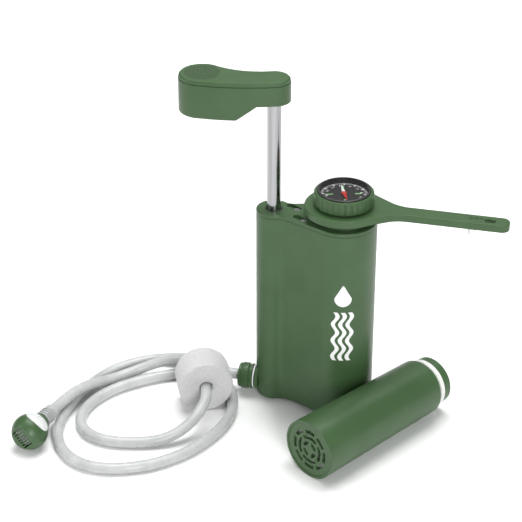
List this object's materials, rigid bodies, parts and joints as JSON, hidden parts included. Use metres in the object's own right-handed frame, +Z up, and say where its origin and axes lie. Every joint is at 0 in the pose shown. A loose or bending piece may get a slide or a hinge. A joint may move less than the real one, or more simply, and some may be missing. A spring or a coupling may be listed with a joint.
{
  "type": "pump water filter",
  "caption": "Hand pump water filter with a two-lobed body, drawn-out handle, swivelling outlet arm, compass cap, spare cartridge and hose with float and strainer.",
  "frame": {"origin": "on the floor, under the axis of the filter well, at the centre of that lobe's foot", "axes": "+Z up, +X from the pump lobe to the filter lobe and along the outlet arm, -Y the front, where the loose cartridge and the hose loops lie"},
  "size_m": [0.3235, 0.1697, 0.257],
  "materials": {
    "green_plastic": "moulded green plastic, fine satin grain",
    "green_dark": "darker green moulded plastic",
    "steel": "polished stainless steel",
    "screw_steel": "zinc plated steel",
    "black_plastic": "black moulded plastic",
    "white_plastic": "white moulded plastic",
    "black_rubber": "black sealing rubber",
    "white_rubber": "white silicone rubber",
    "hose_silicone": "translucent silicone",
    "foam": "closed-cell foam, pale grey",
    "grey_plastic": "grey moulded plastic",
    "pale_plastic": "pale grey moulded plastic",
    "lens": "clear polished plastic",
    "dial": "printed compass card",
    "needle_red": "painted steel needle",
    "brass": "turned brass",
    "sponge": "open-cell filter sponge",
    "carbon": "pressed active carbon",
    "membrane": "bundle of hollow fibres",
    "acetal": "natural acetal"
  },
  "bodies": {
    "pump_body": {"housing": "green_plastic", "top_cover": "green_plastic", "cover_screws": "screw_steel", "pump_cylinder": "white_plastic", "rod_bush": "black_plastic", "rod_wiper": "black_rubber", "valve_block": "white_plastic", "inlet_spring": "steel", "outlet_spring": "steel", "valve_retainer": "acetal", "inlet_gasket": "black_rubber", "inlet_fitting": "green_dark", "filter_head": "green_dark", "head_seal": "black_rubber", "arm_seals": "black_rubber", "strainer_coupling": "grey_plastic", "hose_clamp": "grey_plastic", "strainer_body": "green_dark", "strainer_cover": "pale_plastic", "strainer_sponge": "sponge", "hose": "hose_silicone"},
    "plunger": {"piston_head": "acetal", "piston_seals": "black_rubber", "piston_rod": "steel", "piston_screw": "screw_steel"},
    "handle": {"handle_shell": "green_plastic", "handle_lid": "green_plastic", "handle_screw": "screw_steel", "handle_washer": "screw_steel"},
    "arm": {"outlet_arm": "green_plastic", "arm_strip": "green_plastic", "spout": "green_dark"},
    "cap_ring": {"cap_washer": "acetal"},
    "cap_body": {"cap": "green_plastic", "compass_case": "black_plastic", "compass_dial": "dial", "compass_pivot": "brass", "compass_lens": "lens"},
    "needle": {"compass_needle": "needle_red"},
    "nut": {"hose_nut": "green_dark"},
    "inlet_valve": {"inlet_ball": "steel"},
    "outlet_valve": {"outlet_ball": "steel"},
    "cartridge": {"cartridge_tube": "green_plastic", "cartridge_ring": "white_rubber", "prefilter_sponge": "sponge", "carbon_block": "carbon", "fibre_bundle": "membrane"},
    "cartridge_end": {"cartridge_grille": "green_plastic"},
    "float": {"foam_float": "foam"},
    "strainer_end": {"strainer_grille": "green_dark"}
  },
  "joints": [
    {"name": "pump_stroke", "type": "slide", "parent": "pump_body", "child": "plunger", "axis": [0, 0, 1], "range_m": [-0.08, 0]},
    {"name": "handle_turn", "type": "hinge", "parent": "plunger", "child": "handle", "pos_m": [-0.051, 0, 0.24], "axis": [0, 0, 1], "range_deg": [-60, 60]},
    {"name": "arm_swivel", "type": "hinge", "parent": "pump_body", "child": "arm", "pos_m": [0, 0, 0.163], "axis": [0, 0, 1], "range_deg": [-110, 110]},
    {"name": "cap_lift", "type": "slide", "parent": "pump_body", "child": "cap_ring", "axis": [0, 0, 1], "range_m": [0, 0.004]},
    {"name": "cap_turn", "type": "hinge", "parent": "cap_ring", "child": "cap_body", "pos_m": [0, 0, 0.17], "axis": [0, 0, 1], "range_deg": [0, 720]},
    {"name": "needle_swing", "type": "hinge", "parent": "cap_body", "child": "needle", "pos_m": [0, 0, 0.177], "axis": [0, 0, 1], "continuous": true},
    {"name": "nut_turn", "type": "hinge", "parent": "pump_body", "child": "nut", "pos_m": [-0.051, 0, 0.0125], "axis": [-0.9962, -0.0872, 0], "range_deg": [0, 360]},
    {"name": "inlet_valve_lift", "type": "slide", "parent": "pump_body", "child": "inlet_valve", "axis": [0, 0, 1], "range_m": [0, 0.0015], "stiffness_N_per_m": 20, "springref_m": -0.001, "deforming": ["inlet_spring"]},
    {"name": "outlet_valve_drop", "type": "slide", "parent": "pump_body", "child": "outlet_valve", "axis": [0, 0, -1], "range_m": [0, 0.0015], "stiffness_N_per_m": 20, "springref_m": -0.001, "deforming": ["outlet_spring"]},
    {"name": "cartridge_lift", "type": "slide", "parent": "pump_body", "child": "cartridge", "axis": [0, 0, 1], "range_m": [0, 0.12]},
    {"name": "grille_turn", "type": "hinge", "parent": "cartridge", "child": "cartridge_end", "pos_m": [0.004, -0.0913, 0.02202], "axis": [0.4694, 0.8829, -0.0119], "range_deg": [0, 45]},
    {"name": "float_slide", "type": "slide", "parent": "pump_body", "child": "float", "axis": [-0.4695, 0.8829, 0], "range_m": [-0.003, 0.001]},
    {"name": "strainer_turn", "type": "hinge", "parent": "pump_body", "child": "strainer_end", "pos_m": [-0.1914, -0.096, 0.013], "axis": [-0.1564, -0.9877, 0], "range_deg": [0, 90]}
  ],
  "couplings": [
    {"joint": "cap_lift", "follows": "cap_turn", "m_per_rad": 0.00031831}
  ]
}
